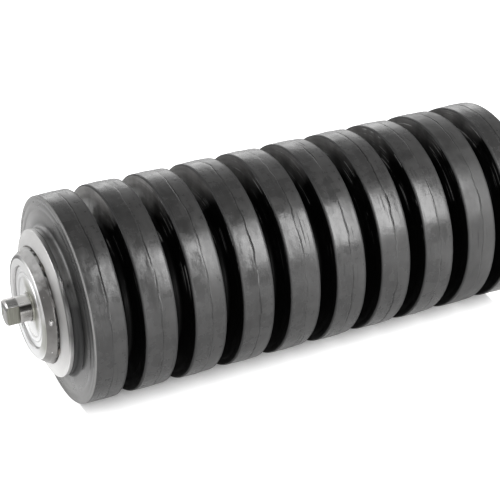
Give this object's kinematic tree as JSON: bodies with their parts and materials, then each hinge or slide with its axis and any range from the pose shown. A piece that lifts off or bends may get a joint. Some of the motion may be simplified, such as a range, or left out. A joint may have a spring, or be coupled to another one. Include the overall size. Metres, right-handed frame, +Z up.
{
  "type": "impact idler roller",
  "caption": "Conveyor impact roller: spaced rubber discs on a steel tube that turns on sealed ball bearings around a fixed shaft with flats at its ends.",
  "frame": {"origin": "middle of the roller, on its axis", "axes": "+Y along the shaft from the picture's near end to its far end, +Z up as the flats stand in a vertical slot, +X out of the front flats"},
  "size_m": [0.159, 0.4526, 0.159],
  "materials": {
    "disc_rubber": "satin",
    "shaft_steel": "satin",
    "tube_steel": "matte",
    "plated_steel": "satin",
    "cast_housing": "satin",
    "weld_metal": "satin",
    "bearing_steel": "gloss",
    "cage_steel": "satin",
    "seal_plastic": "matte",
    "seal_rubber": "matte",
    "cover_steel": "satin",
    "spring_steel": "satin"
  },
  "bodies": {
    "shaft": {"shaft": "shaft_steel", "inner_race_left": "bearing_steel", "fixed_seal_left": "seal_plastic", "circlip_left": "spring_steel", "inner_race_right": "bearing_steel", "fixed_seal_right": "seal_plastic", "circlip_right": "spring_steel"},
    "roller": {"tube": "tube_steel", "disc_01": "disc_rubber", "disc_02": "disc_rubber", "disc_03": "disc_rubber", "disc_04": "disc_rubber", "disc_05": "disc_rubber", "disc_06": "disc_rubber", "disc_07": "disc_rubber", "disc_08": "disc_rubber", "disc_09": "disc_rubber", "disc_10": "disc_rubber", "retaining_ring_left": "plated_steel", "bearing_housing_left": "cast_housing", "tack_welds_left": "weld_metal", "outer_race_left": "bearing_steel", "turning_seal_left": "seal_plastic", "rear_seal_left": "seal_rubber", "dust_cover_left": "cover_steel", "retaining_ring_right": "plated_steel", "bearing_housing_right": "cast_housing", "tack_welds_right": "weld_metal", "outer_race_right": "bearing_steel", "turning_seal_right": "seal_plastic", "rear_seal_right": "seal_rubber", "dust_cover_right": "cover_steel"},
    "cage_left": {"cage_left": "cage_steel", "balls_left": "bearing_steel"},
    "cage_right": {"cage_right": "cage_steel", "balls_right": "bearing_steel"}
  },
  "joints": [
    {"name": "roller_spin", "type": "hinge", "parent": "shaft", "child": "roller", "pos_m": [0, 0, 0], "axis": [0, 1, 0], "continuous": true},
    {"name": "cage_left_spin", "type": "hinge", "parent": "shaft", "child": "cage_left", "pos_m": [0, -0.1868, 0], "axis": [0, 1, 0], "continuous": true},
    {"name": "cage_right_spin", "type": "hinge", "parent": "shaft", "child": "cage_right", "pos_m": [0, 0.1868, 0], "axis": [0, 1, 0], "continuous": true}
  ],
  "couplings": [
    {"joint": "cage_left_spin", "follows": "roller_spin", "ratio": 0.61851},
    {"joint": "cage_right_spin", "follows": "roller_spin", "ratio": 0.61851}
  ]
}
